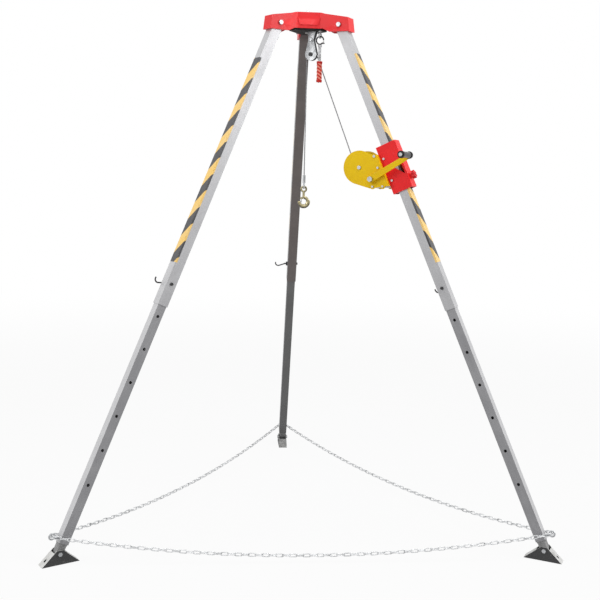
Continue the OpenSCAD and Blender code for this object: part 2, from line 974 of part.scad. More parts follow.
module rope_winding() {
    color(steel)
        at_drum()
            rope_tube(wind_path, rope_d / 2, 6);
}

// taut rope, in the right leg's upright plane

module rope_line() {
    start = [sheave_r + sheave_r * cos(leave_dir), 0, sheave_h + sheave_r * sin(leave_dir)];
    color(steel)
        on_azimuth(right)
            translate(start)
                rotate([0, 90 - run_dir, 0])
                    translate([0, 0, 0.2])
                        cylinder(h = line_len - 0.8, d = rope_d, $fn = 24);
}

module rope_on_sheave() {
    color(steel)
        at_sheave()
            wire_arc(sheave_r, rope_d / 2, leave_dir, 180);
}

module rope_hanging() {
    color(steel)
        translate([0, axis_y, hinge_z - rope_drop])
            cylinder(h = rope_drop - sheave_drop - 0.2, d = rope_d, $fn = 24);
}

// rope end, hook and latch

module rope_end() {
    color(steel)
        translate([0, axis_y, 0])
            difference() {
                union() {
                    translate([0, 0, hook_z + ferrule_over])
                        cylinder(h = ferrule_h, d = 13, $fn = fine);
                    translate([0, 0, hook_z + thimble_over])
                        rotate([0, 0, 90])
                            wire_arc(thimble_r, thimble_wire, 0, 360);
                }
                translate([0, 0, hinge_z - rope_drop - 0.2])
                    cylinder(h = 60, d = rope_d + 0.2, $fn = 24);
            }
}

bowl_r = 19;
bowl_z = -52;
latch_x = -10;
latch_z = -36;

module at_hook() {
    translate([0, axis_y, hook_z])
        children();
}

module hook() {
    color(zinc)
        at_hook()
            union() {
                translate([0, 0, hook_eye_over])
                    wire_arc(hook_eye_r, hook_eye_wire, 0, 360);
                translate([0, 0, -36])
                    cylinder(h = 30, d = 11, $fn = fine);
                translate([0, 0, bowl_z]) {
                    wire_arc(bowl_r, 7, -170, 88);
                    wire_arc(bowl_r + 1, 9, -125, 12);
                    rotate([0, -10, 0])
                        translate([-bowl_r, 0, 0])
                            sphere(7, $fn = fine);
                }
                translate([latch_x, 0, latch_z]) {
                    bar_y(4, -7, 7);
                    for (side = [-1, 1])
                        sided(side)
                            slab_between(4.6, 7)
                                union() {
                                    circle(5, $fn = fine);
                                    translate([0, -4])
                                        square([8, 8]);
                                }
                }
            }
}

module hook_latch() {
    color(steel)
        at_hook()
            translate([latch_x, 0, latch_z])
                difference() {
                    union() {
                        bar_y(8, -4.2, 4.2);
                        translate([-1.2, -4.2, -19.4])
                            cube([3.2, 8.4, 18.4]);
                    }
                    bar_y(4 + 2 * run_gap, -10, 10);
                }
}

// snap hook and its rope tail

gate_x = loop_r - 0.2;
gate_z = -13;
gate_h = 11.6;
frame_end = 308;

module at_snap() {
    on_azimuth(right)
        translate([snap_out, snap_off, loop_z])
            children();
}

module snap_hook() {
    color(steel)
        at_snap()
            union() {
                wire_arc(loop_r, loop_wire, 1, frame_end);
                translate([0, 0, -loop_r - 74])
                    cylinder(h = 73, d = 12, $fn = fine);
                translate([0, 0, -loop_r - 12])
                    cylinder(h = 8, d = 17, $fn = fine);
                slab(11)
                    translate([8.5, gate_z - 3])
                        square([4, 5]);
                translate([gate_x, 0, gate_z])
                    bar_y(3, -5.5, 5.5);
                for (side = [-1, 1])
                    sided(side)
                        slab_between(3.4, 5.5)
                            union() {
                                translate([gate_x, gate_z])
                                    circle(3.4, $fn = fine);
                                translate([8.5, gate_z - 3])
                                    square([gate_x - 8.5, 5]);
                            }
            }
}

module snap_gate() {
    color(silver)
        at_snap()
            translate([gate_x, 0, gate_z])
                difference() {
                    union() {
                        bar_y(5.6, -3, 3);
                        cylinder(h = gate_h, d = 5.2, $fn = fine);
                    }
                    bar_y(3 + 2 * run_gap, -10, 10);
                }
}

module rope_tail() {
    color(red)
        at_snap()
            translate([0, 0, -loop_r - 74 - 0.1])
                union() {
                    translate([0, 0, -82])
                        cylinder(h = 82, d = 24, $fn = fine);
                    translate([0, 0, -90])
                        cylinder(h = 9, d = 26, $fn = fine);
                }
}

// chain: each leg carries the halves of its two spans

// one link in X and Z: 8 rings of 4 sides round a slot shape
function link_point(k, half, r) =
    let (a = k * 45 + 22.5)
        [r * cos(a) / cos(22.5) + (cos(a) > 0 ? half : -half), 0, r * sin(a) / cos(22.5)];

function link_ring(k, half, r) =
    let (c = link_point(k, half, r), a = k * 45 + 22.5, w = link_d / 2)
        [for (j = [0 : 3]) c + w * (cos(90 * j) / cos(22.5) * [cos(a), 0, sin(a)] + sin(90 * j) * [0, 1, 0])];

link_faces = [
    for (k = [0 : 7], j = [0 : 3], side = [0, 1])
        let (n = (k + 1) % 8, m = (j + 1) % 4)
            side == 0 ? [k * 4 + j, k * 4 + m, n * 4 + j] : [k * 4 + m, n * 4 + m, n * 4 + j]
];

module chain_link() {
    polyhedron([for (k = [0 : 7]) each link_ring(k, link_half, link_r)], link_faces);
}

// height of a span over its ends, at a share of its length
function sag_at(t) = -4 * chain_sag * t * (1 - t);
function slope_at(t) = atan(-4 * chain_sag * (1 - 2 * t) / span_len);

// the links of a half span, from a leg's eye towards the next leg on one side
module half_span(i, side) {
    for (k = [0 : (link_count - 1) / 2]) {
        t = (k + 0.5) / link_count;
        keep = side == 1 || k < (link_count - 1) / 2;
        if (keep)
            on_azimuth(i)
                translate([chain_radius, side * link_half, eye_h])
                    rotate([0, 0, side * 150])
                        translate([link_r - link_lap + t * span_len, 0, sag_at(t)])
                            rotate([0, -slope_at(t), 0])
                                rotate([k % 2 == 0 ? 0 : 90, 0, 0])
                                    chain_link();
    }
}

module chain(i) {
    color(silver) {
        half_span(i, 1);
        half_span(i, -1);
        on_azimuth(i)
            translate([chain_radius, 0, eye_h])
                rotate([90, 0, 90])
                    chain_link();
    }
}

head_shell();
hinge_bolt(left, -1);  // hinge_bolt_left
hinge_bolt(right, 1);  // hinge_bolt_right
hinge_bolt(rear, -1);  // hinge_bolt_rear
spreader_plate();
center_bolt();
anchor_eye();
pulley_bracket();
pulley_plates();
pulley_axle();
sheave();
upper_leg(left);  // upper_leg_left
upper_leg(right);  // upper_leg_right
upper_leg(rear);  // upper_leg_rear
lower_leg(left);  // lower_leg_left
lower_leg(right);  // lower_leg_right
lower_leg(rear);  // lower_leg_rear
ankle(left);  // ankle_left
ankle(right);  // ankle_right
ankle(rear);  // ankle_rear
chain_eye(left);  // chain_eye_left
chain_eye(right);  // chain_eye_right
chain_eye(rear);  // chain_eye_rear
foot_bolt(left, -1);  // foot_bolt_left
foot_bolt(right, 1);  // foot_bolt_right
foot_bolt(rear, 1);  // foot_bolt_rear
shoe(left);  // shoe_left
shoe(right);  // shoe_right
shoe(rear);  // shoe_rear
lock_pin(left, 1, -70, 0);  // lock_pin_left
lock_pin(right, -1, -70, 180);  // lock_pin_right
lock_pin(rear, -1, -70, -90);  // lock_pin_rear
winch_bracket();
bracket_bolts();
clamp_knob();
winch_frame();
frame_bolts();
drum_axle();
drum();
drum_gear();
rope_winding();
pinion();
crank_arm();
crank_nut();
grip_pin();
grip();
pawl_pin();
pawl();
rope_line();
rope_on_sheave();
rope_hanging();
rope_end();
hook();
hook_latch();
snap_hook();
snap_gate();
rope_tail();
chain(left);  // chain_left
chain(right);  // chain_right
chain(rear);  // chain_rear
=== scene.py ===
import math

import bmesh
import bpy
import numpy as np
from mathutils import Matrix, Vector


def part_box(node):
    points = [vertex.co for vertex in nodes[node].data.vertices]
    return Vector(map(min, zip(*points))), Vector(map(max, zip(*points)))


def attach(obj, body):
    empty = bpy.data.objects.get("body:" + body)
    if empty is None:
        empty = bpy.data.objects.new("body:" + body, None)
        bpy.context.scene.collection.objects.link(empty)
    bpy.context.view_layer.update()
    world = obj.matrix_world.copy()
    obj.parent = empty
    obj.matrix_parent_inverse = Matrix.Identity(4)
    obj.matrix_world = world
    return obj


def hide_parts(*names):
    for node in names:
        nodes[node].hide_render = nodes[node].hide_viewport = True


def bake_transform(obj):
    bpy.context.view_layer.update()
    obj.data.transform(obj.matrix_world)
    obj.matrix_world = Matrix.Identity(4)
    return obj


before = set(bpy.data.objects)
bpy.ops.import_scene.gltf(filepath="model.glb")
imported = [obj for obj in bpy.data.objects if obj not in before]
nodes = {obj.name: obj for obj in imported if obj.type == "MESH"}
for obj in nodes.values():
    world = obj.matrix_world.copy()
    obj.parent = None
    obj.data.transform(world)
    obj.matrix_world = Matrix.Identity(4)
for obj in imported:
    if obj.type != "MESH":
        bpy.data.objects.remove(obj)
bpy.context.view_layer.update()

# main sizes, in metres and degrees, as the solids have them
tripod = {
    "tilt": 24.0,
    "hingeRadius": 0.162,
    "hingeHeight": 2.1576848,
    "axisY": -0.2842924,
    "azimuth": {"left": 210.0, "right": -30.0, "rear": 90.0},
    "upperWidth": 0.045,
    "pivotAlong": 2.317,
}
sides = list(tripod["azimuth"])


def onAzimuth(side, out, across, up):
    a = math.radians(tripod["azimuth"][side])
    return Vector((
        out * math.cos(a) - across * math.sin(a),
        tripod["axisY"] + out * math.sin(a) + across * math.cos(a),
        up,
    ))


def onLeg(side, out, across, along):  # hinge at 0, out of the outer face, up the leg
    t = math.radians(tripod["tilt"])
    return onAzimuth(
        side,
        tripod["hingeRadius"] + out * math.cos(t) - along * math.sin(t),
        across,
        tripod["hingeHeight"] + out * math.sin(t) + along * math.cos(t),
    )


# camera, from the edges of the legs and the pin holes in the photograph

lens = {
    "yaw": 4.57, "pitch": -2.54, "roll": 1.37,  # degrees
    "back": 4.291, "target": 1.3188,  # metres from the tripod's axis, and up it
    "focal": 970.2, "dx": 3.1, "dy": -81.8, "width": 600,  # pixels of the photograph
    "sensor": 36,
}


def makeCamera():
    yaw, pitch, roll = (math.radians(lens[k]) for k in ("yaw", "pitch", "roll"))
    ahead = Vector((math.sin(yaw) * math.cos(pitch), math.cos(yaw) * math.cos(pitch), math.sin(pitch)))
    level = Vector((math.cos(yaw), -math.sin(yaw), 0))
    above = level.cross(ahead)
    rightward = math.cos(roll) * level + math.sin(roll) * above
    upward = -math.sin(roll) * level + math.cos(roll) * above
    data = bpy.data.cameras.new("photoCamera")
    data.sensor_width = lens["sensor"]
    data.lens = lens["sensor"] * lens["focal"] / lens["width"]
    data.shift_x = -lens["dx"] / lens["width"]
    data.shift_y = lens["dy"] / lens["width"]
    data.clip_start, data.clip_end = 0.05, 100
    cam = bpy.data.objects.new("photoCamera", data)
    turn = Matrix((rightward, upward, -ahead)).transposed()
    spot = Vector((0, tripod["axisY"], lens["target"])) - ahead * lens["back"]
    cam.matrix_world = Matrix.Translation(spot) @ turn.to_4x4()
    bpy.context.scene.collection.objects.link(cam)
    bpy.context.scene.camera = cam


makeCamera()
print("camera set")


# shader maths: a socket that takes part in expressions, and one method for every other node

class Shade:
    def __init__(self, tree, out=None):
        self.tree, self.out = tree, out

    def node(self, kind, settings=None, values=None, give=0):
        n = self.tree.nodes.new(kind)
        for key, value in (settings or {}).items():
            setattr(n, key, value)
        for key, value in (values or {}).items():
            socket = n.inputs[key]
            if isinstance(value, Shade):
                self.tree.links.new(value.out, socket)
            elif isinstance(value, (tuple, list)) and len(value) == 3 and socket.type == "RGBA":
                socket.default_value = (*value, 1)
            else:
                socket.default_value = value
        made = Shade(self.tree, n.outputs[give] if n.outputs else None)
        made.owner = n
        return made

    def maths(self, operation, first, second):
        return self.node("ShaderNodeMath", {"operation": operation}, {0: first, 1: second})

    def __add__(self, other): return self.maths("ADD", self, other)
    def __radd__(self, other): return self.maths("ADD", other, self)
    def __sub__(self, other): return self.maths("SUBTRACT", self, other)
    def __rsub__(self, other): return self.maths("SUBTRACT", other, self)
    def __mul__(self, other): return self.maths("MULTIPLY", self, other)
    def __rmul__(self, other): return self.maths("MULTIPLY", other, self)
    def __truediv__(self, other): return self.maths("DIVIDE", self, other)

    def held(self, low, high):
        return self.maths("MINIMUM", self.maths("MAXIMUM", self, low), high)

    def step(self, low, high):  # 0 below low, 1 above high
        return self.node("ShaderNodeMapRange", {"interpolation_type": "SMOOTHSTEP"},
                         {"Value": self, "From Min": low, "From Max": high})

    def mix(self, first, second):  # colours, by this value
        return self.node("ShaderNodeMix", {"data_type": "RGBA"}, {0: self, 6: first, 7: second}, give=2)

    def noise(self, where, scale, detail=3.0, rough=0.5):
        return self.node("ShaderNodeTexNoise", {},
                         {"Vector": where, "Scale": scale, "Detail": detail, "Roughness": rough})

    def place(self, turn=(0, 0, 0), stretch=(1, 1, 1), shift=(0, 0, 0), source="Object"):
        coords = self.node("ShaderNodeTexCoord", give=["Generated", "Normal", "UV", "Object"].index(source))
        size = tuple(1 / x for x in stretch)  # turned first, then stretched
        return self.node("ShaderNodeMapping", {"vector_type": "TEXTURE"},
                         {"Vector": coords, "Location": shift, "Rotation": turn, "Scale": size})


def newFinish(name):
    mat = bpy.data.materials.new(name)
    mat.use_nodes = True
    tree = mat.node_tree
    tree.nodes.clear()
    return mat, Shade(tree)


def surface(s, bump, strength, depth, **sockets):
    values = {k.replace("_", " "): v for k, v in sockets.items()}
    values["Normal"] = s.node("ShaderNodeBump", {}, {"Height": bump, "Strength": strength, "Distance": depth})
    body = s.node("ShaderNodeBsdfPrincipled", {}, values)
    s.node("ShaderNodeOutputMaterial", {}, {"Surface": body})


def wornEdge(s, where, scale=55.0):  # bevelled faces carry the wear value, broken up by noise
    edge = s.node("ShaderNodeAttribute", {"attribute_name": "wear"}, give=2)
    return edge * s.noise(where, scale, 4).step(0.50, 0.66)


def gloss(name, colour, deep, bare, rough=0.36):  # stoved paint over steel or cast metal
    mat, s = newFinish(name)
    where = s.place()
    clouds = s.noise(where, 7.0, 4).step(0.3, 0.75)
    peel = s.noise(where, 650.0, 2)
    scuff = s.noise(where, 42.0, 6, 0.7).step(0.64, 0.72)
    fine = s.noise(s.place(stretch=(1, 1, 0.12)), 380.0, 3).step(0.66, 0.74)
    worn = wornEdge(s, where)
    paint = clouds.mix(deep, colour)
    paint = (0.10 * scuff + 0.06 * fine).mix(paint, (0.95, 0.9, 0.88))
    surface(s, bump=peel + 0.6 * scuff - 1.5 * worn, strength=0.10, depth=0.0008,
            Base_Color=(0.75 * worn).mix(paint, bare),
            Roughness=(rough + 0.10 * clouds + 0.22 * scuff).held(0.05, 1),
            Metallic=0.6 * worn, Specular_IOR_Level=0.16, Coat_Weight=0.05, Coat_Roughness=0.15)
    return mat


def extruded(name, side, bright, dull, innerShade, outerLight):  # drawn aluminium tube, its lines along the leg; painted shade on the inner faces, painted light on the outer faces
    mat, s = newFinish(name)
    a = math.radians(tripod["azimuth"][side])
    t = math.radians(tripod["tilt"])
    turn = Matrix.Rotation(a, 3, "Z") @ Matrix.Rotation(-t, 3, "Y")
    turned = tuple(turn.to_euler("XYZ"))
    along = s.place(turn=turned, stretch=(1, 1, 0.01))
    where = s.place()
    lines = s.noise(along, 900.0, 4, 0.65)
    bands = s.noise(s.place(turn=turned, stretch=(1, 1, 0.06)), 60.0, 3)
    haze = s.noise(where, 9.0, 5, 0.6).step(0.35, 0.72)
    scratch = s.noise(s.place(turn=turned, stretch=(1, 0.5, 0.03)), 240.0, 2).step(0.68, 0.72)
    specks = s.noise(where, 330.0, 2).step(0.70, 0.78)
    facing = s.node("ShaderNodeTexCoord", give=1)
    away = turn @ Vector((-1, 0, 0))
    inward = s.node("ShaderNodeVectorMath", {"operation": "DOT_PRODUCT"}, {0: facing, 1: tuple(away)}, give=1)
    shadedInside, litOutside = inward.step(0.85, 0.95), (-1 * inward).step(0.85, 0.95)
    tone = (0.45 * lines + 0.35 * bands + 0.30 * haze).held(0, 1).mix(dull, bright)
    tone = (0.35 * specks + 0.25 * scratch).mix(tone, (0.32, 0.31, 0.30))
    tone = (outerLight * litOutside).mix(tone, (0.74, 0.74, 0.75))  # painted light: the outer faces are lighter
    # painted shade: the inner faces are darker
    shade = (0.5 * lines + 0.5 * haze).mix(innerShade, tuple(1.5 * c for c in innerShade))
    surface(s, bump=lines + 0.7 * scratch, strength=0.07, depth=0.0006,
            Base_Color=shadedInside.mix(tone, shade),
            Roughness=(0.34 + 0.16 * lines + 0.12 * haze).held(0.1, 0.8),
            Metallic=0.55 - 0.15 * shadedInside)
    return mat


def plated(name, bright, dull, rough=0.3, spangle=70.0, metal=0.9):  # zinc plate with a faint crystal pattern
    mat, s = newFinish(name)
    where = s.place()
    cells = s.node("ShaderNodeTexVoronoi", {}, {"Vector": where, "Scale": spangle}, give=1)
    flake = s.node("ShaderNodeSeparateColor", {}, {"Color": cells})
    stain = s.noise(where, 28.0, 5, 0.65).step(0.42, 0.75)
    grain = s.noise(where, 700.0, 2)
    surface(s, bump=grain, strength=0.06, depth=0.0006,
            Base_Color=(0.30 * flake + 0.55 * stain).held(0, 1).mix(bright, dull),
            Roughness=(rough + 0.12 * flake + 0.15 * stain).held(0.08, 0.9), Metallic=metal)
    return mat


def coated(name, colour, worn, rough, metal=0.2, gleam=0.5):  # dark coat over steel, rubbed on its edges
    mat, s = newFinish(name)
    where = s.place()
    rub = s.noise(where, 48.0, 5, 0.7).step(0.60, 0.74)
    edge = wornEdge(s, where, 70.0)
    grain = s.noise(where, 520.0, 3)
    surface(s, bump=grain - edge, strength=0.14, depth=0.0008,
            Base_Color=(0.40 * rub + 0.8 * edge).held(0, 1).mix(colour, worn),
            Roughness=(rough + 0.14 * grain - 0.1 * edge).held(0.1, 1),
            Metallic=(metal + 0.5 * edge).held(0, 1), Specular_IOR_Level=gleam)
    return mat


def moulded(name, colour, rough=0.5):  # matt plastic with a spark-eroded grain
    mat, s = newFinish(name)
    where = s.place()
    pebble = s.node("ShaderNodeTexVoronoi", {"feature": "SMOOTH_F1"}, {"Vector": where, "Scale": 900.0})
    shine = s.noise(where, 30.0, 4).step(0.35, 0.7)
    surface(s, bump=pebble, strength=0.25, depth=0.0005,
            Base_Color=(0.5 * shine).mix(colour, tuple(min(1, 1.7 * c + 0.01) for c in colour)),
            Roughness=(rough + 0.15 * shine).held(0.1, 1), Specular_IOR_Level=0.35)
    return mat


def forged(name, bright, dull, shadeAndGrime):  # plated forging, with painted shade on its downward faces
    mat, s = newFinish(name)
    where = s.place()
    facing = s.node("ShaderNodeTexCoord", give=1)
    up = s.node("ShaderNodeSeparateXYZ", {}, {"Vector": facing}, give=2)
    stain = s.noise(where, 55.0, 5, 0.65).step(0.42, 0.75)
    # painted shade: downward faces darker, with some stain mixed in
    underShadeAndStain = ((-1 * up).step(-0.15, 0.75) + 0.25 * stain).held(0, 1)
    surface(s, bump=s.noise(where, 420.0, 3), strength=0.10, depth=0.0006,
            Base_Color=underShadeAndStain.mix(stain.mix(bright, dull), shadeAndGrime),
            Roughness=(0.24 + 0.25 * stain + 0.15 * underShadeAndStain).held(0.1, 1), Metallic=0.85 - 0.45 * underShadeAndStain)
    return mat


snapRing = {"height": 0.040, "blend": 0.002}


def snapFinish(name, node):  # blackened ring, plated body below it
    mat, s = newFinish(name)
    where = s.place()
    up = s.node("ShaderNodeSeparateXYZ", {}, {"Vector": where}, give=2)
    ringFoot = max(v.co.z for v in nodes[node].data.vertices) - snapRing["height"]
    ring = up.step(ringFoot - snapRing["blend"], ringFoot + snapRing["blend"])
    stain = s.noise(where, 60.0, 4, 0.6).step(0.4, 0.75)
    zinc = stain.mix((0.42, 0.42, 0.43), (0.22, 0.22, 0.22))
    blacking = stain.mix((0.035, 0.035, 0.036), (0.10, 0.10, 0.10))
    surface(s, bump=s.noise(where, 600.0, 2), strength=0.08, depth=0.0006,
            Base_Color=ring.mix(zinc, blacking),
            Roughness=(0.30 + 0.2 * stain + 0.2 * ring).held(0, 1),
            Metallic=0.85 - 0.8 * ring, Specular_IOR_Level=0.3)
    return mat


def wireFinish(name):  # bright drawn wires with grease in the lay
    mat, s = newFinish(name)
    where = s.place()
    grease = s.noise(where, 130.0, 4).step(0.45, 0.7)
    wires = s.noise(where, 1500.0, 2)
    surface(s, bump=wires, strength=0.2, depth=0.0003,
            Base_Color=(0.6 * grease).mix((0.30, 0.30, 0.31), (0.13, 0.125, 0.12)),
            Roughness=(0.36 + 0.2 * wires).held(0.1, 0.9), Metallic=0.7)
    return mat


def fibreFinish(name, colour, dark, crownHighlight, node, highlightReach):  # yarns on the rope's UV map, painted highlight on the strands' crowns
    mat, s = newFinish(name)
    low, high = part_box(node)
    spot = s.place(shift=((low.x + high.x) / 2, (low.y + high.y) / 2, 0), stretch=(1, 1, 1e-6))
    # painted highlight: the outermost band of the tail, the strands' crowns, goes pale
    out = s.node("ShaderNodeVectorMath", {"operation": "LENGTH"}, {0: spot}, give=1)
    out = out.step(*highlightReach[:2]) - out.step(*highlightReach[1:])
    yarn = s.noise(s.place(stretch=(9, 260, 1), source="UV"), 1.0)
    fuzz = s.noise(s.place(), 900.0, 3)
    dirt = s.noise(s.place(), 60.0, 4).step(0.5, 0.8)
    tone = (0.55 * yarn.step(0.35, 0.7) + 0.2 * dirt).held(0, 1).mix(colour, dark)
    surface(s, bump=yarn + 0.4 * fuzz, strength=0.45, depth=0.0008,
            Base_Color=(0.9 * out).mix(tone, crownHighlight),
            Roughness=(0.72 + 0.18 * fuzz).held(0, 1))
    return mat


def hazardFinish(name, period, slant, yellow, black):  # diagonal bands, UV in metres
    mat, s = newFinish(name)
    flat = s.node("ShaderNodeSeparateXYZ", {}, {"Vector": s.place(source="UV")})
    along = Shade(s.tree, flat.owner.outputs[1])
    phase = s.node("ShaderNodeMath", {"operation": "FRACT"}, {0: (along + slant * flat) / period})
    band = phase.step(0.495, 0.505) - phase.step(0.988, 0.998)
    where = s.place()
    fade = s.noise(where, 16.0, 5, 0.65).step(0.35, 0.75)
    rub = s.noise(where, 95.0, 5, 0.7).step(0.66, 0.74)
    weave = s.node("ShaderNodeTexVoronoi", {}, {"Vector": where, "Scale": 600.0})
    warm = fade.mix(yellow, tuple(0.82 * c + 0.16 for c in yellow))
    cool = (0.7 * fade).mix(black, tuple(2.2 * c + 0.03 for c in black))
    surface(s, bump=weave + 0.8 * rub, strength=0.10, depth=0.0005,
            Base_Color=(0.35 * rub).mix(band.mix(warm, cool), (0.62, 0.61, 0.58)),
            Roughness=(0.36 + 0.2 * fade + 0.2 * rub).held(0, 1))
    return mat


finish = {
    "red": gloss("redStove", (0.92, 0.026, 0.029), (0.82, 0.018, 0.021), (0.55, 0.50, 0.48)),
    "castRed": gloss("redCastStove", (0.86, 0.042, 0.047), (0.77, 0.031, 0.036), (0.55, 0.50, 0.48)),
    "yellow": gloss("yellowStove", (0.90, 0.60, 0.003), (0.83, 0.52, 0.002), (0.50, 0.47, 0.42), 0.42),
    "steel": plated("zincPlate", (0.44, 0.45, 0.46), (0.26, 0.27, 0.28)),
    "bolt": plated("brightZinc", (0.56, 0.55, 0.54), (0.34, 0.33, 0.32), 0.28, 140.0),
    "casting": plated("ankleCasting", (0.30, 0.30, 0.30), (0.15, 0.15, 0.15), 0.5, 60.0, 0.4),
    "flange": plated("shoeZinc", (0.66, 0.66, 0.65), (0.40, 0.40, 0.38), 0.42, 60.0, 0.4),
    # painted shade: the darker zinc of the rear shoe's flange
    "shadedFlange": plated("shadedFlangeZinc", (0.30, 0.30, 0.295), (0.13, 0.13, 0.128), 0.5, 60.0, 0.4),
    "passivated": forged("yellowPassivate", (0.50, 0.44, 0.26), (0.20, 0.17, 0.08), (0.040, 0.032, 0.013)),
    "chain": plated("galvanisedLinks", (0.74, 0.75, 0.76), (0.22, 0.225, 0.23), 0.30, 260.0, 0.8),
    "shoe": coated("shoeCoat", (0.040, 0.040, 0.041), (0.30, 0.30, 0.29), 0.5),
    "black": coated("blackCoat", (0.022, 0.022, 0.024), (0.30, 0.30, 0.30), 0.36),
    # a dark coat, made darker still as painted shade under the head
    "plate": coated("spreaderCoatAndShade", (0.014, 0.012, 0.012), (0.16, 0.15, 0.14), 0.62, 0.0, 0.12),
    "plastic": moulded("blackMoulding", (0.010, 0.010, 0.011)),
    "grip": moulded("gripMoulding", (0.005, 0.005, 0.006), 0.20),
    "redPlastic": moulded("redMoulding", (0.62, 0.022, 0.028)),
    "snap": snapFinish("snapSteel", "snap_hook"),
    "wire": wireFinish("wireRope"),
    # the pale colour is the painted highlight on the crowns
    "fibre": fibreFinish("redLaidRope", (0.74, 0.026, 0.018), (0.44, 0.010, 0.008), (0.98, 0.34, 0.25),
                         "rope_tail", (0.0102, 0.0116, 0.0120)),
    "hazard": hazardFinish("hazardTape", 0.149, 1.15, (0.90, 0.58, 0.14), (0.036, 0.036, 0.040)),
}
# per side: the inner colour is painted shade on the inner faces, the last number is painted light on the outer
# faces
for side in sides:
    finish["tube_" + side] = extruded("drawnTube_" + side, side, (0.47, 0.47, 0.48), (0.32, 0.32, 0.33),
                                      (0.11, 0.096, 0.092), 0.35)
    # the stems are darker than the tubes: painted shade towards the feet
    finish["stem_" + side] = extruded("drawnStem_" + side, side, (0.35, 0.35, 0.36), (0.20, 0.20, 0.21),
                                      (0.105, 0.105, 0.105), 0.55)
print("finishes:", len(finish))


def dress(finishName, *names):
    for name in names:
        mesh = nodes[name].data
        mesh.materials.clear()
        mesh.materials.append(finish[finishName])


for side in sides:
    dress("tube_" + side, "upper_leg_" + side)
    dress("stem_" + side, "lower_leg_" + side)
    dress("steel", "chain_eye_" + side, "foot_bolt_" + side, "hinge_bolt_" + side)
    dress("casting", "ankle_" + side)
    dress("black", "lock_pin_" + side)
dress("plate", "pawl")
dress("steel", "anchor_eye", "pulley_bracket", "pulley_plates", "rope_end", "hook_latch",
      "bracket_bolts", "frame_bolts", "drum", "drum_axle", "drum_gear", "pinion", "pawl_pin",
      "crank_nut", "grip_pin")
dress("bolt", "center_bolt", "snap_gate")
dress("black", "pulley_axle")
dress("plastic", "sheave")
dress("grip", "grip")
dress("redPlastic", "clamp_knob")
dress("snap", "snap_hook")
dress("passivated", "hook")


# pieces with eased edges, which take the wear of their finish: body, finish, width, segments

eased = {
    "head_shell": ("head", "castRed", 0.0022, 3),
    "winch_bracket": ("upper_right", "red", 0.0012, 2),
    "winch_frame": ("upper_right", "yellow", 0.0007, 2),
    "crank_arm": ("crank", "yellow", 0.0012, 2),
    "spreader_plate": ("head", "plate", 0.0010, 2),
    "shoe_left": ("foot_left", "shoe", 0.0010, 2),
    "shoe_right": ("foot_right", "shoe", 0.0010, 2),
    "shoe_rear": ("foot_rear", "shoe", 0.0010, 2),
}
easing = {"weld": 2e-6, "flat": 0.6, "sharp": 26.0, "sidePlate": 0.8}  # metres, degrees, degrees, cosine
flange = {"shoe_left": "flange", "shoe_right": "flange", "shoe_rear": "shadedFlange"}  # the rear one is darker: painted shade


def easeEdges(name, body, finishName, width, segments):
    bm = bmesh.new()
    bm.from_mesh(nodes[name].data)
    bmesh.ops.remove_doubles(bm, verts=bm.verts, dist=easing["weld"])
    bmesh.ops.dissolve_limit(bm, angle_limit=math.radians(easing["flat"]), verts=bm.verts, edges=bm.edges)
    least = math.radians(easing["sharp"])
    sharp = [e for e in bm.edges if len(e.link_faces) == 2 and e.calc_face_angle() > least]
    wear = bm.faces.layers.float.new("wear")
    if finishName == "shoe":  # bare zinc flanges between coated side plates
        a = math.radians(tripod["azimuth"][name.split("_")[1]])
        across = Vector((-math.sin(a), math.cos(a), 0))
        for face in bm.faces:
            face.material_index = 0 if abs(face.normal.dot(across)) > easing["sidePlate"] else 1
    made = bmesh.ops.bevel(bm, geom=sharp, offset=width, offset_type="OFFSET", segments=segments, profile=0.5,
                           affect="EDGES", clamp_overlap=True, loop_slide=True)
    for face in made["faces"]:
        face[wear] = 1.0
    bmesh.ops.triangulate(bm, faces=[f for f in bm.faces if len(f.verts) > 4])
    mesh = bpy.data.meshes.new(name + "Eased")
    mesh.materials.append(finish[finishName])
    if finishName == "shoe":
        mesh.materials.append(finish[flange[name]])
    bm.to_mesh(mesh)
    bm.free()
    piece = addPiece(name + "Eased", mesh)
    smoothFlats(piece)
    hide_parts(name)
    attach(piece, body)


def addPiece(name, mesh):
    piece = bpy.data.objects.new(name, mesh)
    bpy.context.scene.collection.objects.link(piece)
    return piece


def bakeModifiers(piece):
    bpy.context.view_layer.update()
    mesh = bpy.data.meshes.new_from_object(piece.evaluated_get(bpy.context.evaluated_depsgraph_get()))
    piece.modifiers.clear()
    piece.data = mesh


def smoothFlats(piece, angle=32.0):
    piece.data.shade_smooth()
    piece.data.set_sharp_from_angle(angle=math.radians(angle))
    weigh = piece.modifiers.new("flatNormals", "WEIGHTED_NORMAL")
    weigh.keep_sharp = True
    bakeModifiers(piece)


for name, settings in eased.items():
    easeEdges(name, *settings)
print("eased pieces:", len(eased))


# hazard tape over the outer faces of the upper tubes, lapped round their edges

tape = {
    "run": {"left": (-0.179, -1.117), "right": (-0.145, -1.098), "rear": (-0.160, -1.100)},
    "start": {"left": 0.0093, "right": 0.0943, "rear": 0.0},  # where the bands begin
    "lap": 0.008, "lift": 0.00006, "thick": 0.00016, "round": 0.00012,
}


def tapeSection(lift):  # (out, across, distance along the tape) across one tube
    half, r, lap = tripod["upperWidth"] / 2, tape["round"], tape["lap"]
    far = half + lift
    edge = [(half - r - lap, far)]
    for a in range(0, 91, 15):
        turn = math.radians(a)
        edge.append((half - r + (r + lift) * math.sin(turn), half - r + (r + lift) * math.cos(turn)))
    edge += [(far, half * k / 4) for k in (3, 2, 1)]
    section = [(x, -y) for x, y in edge] + [(far, 0)] + edge[::-1]
    run, points = 0, []
    for k, (x, y) in enumerate(section):
        run += math.dist(section[k - 1], section[k]) if k else 0
        points.append((x, y, run))
    return [(x, y, u - run / 2) for x, y, u in points]


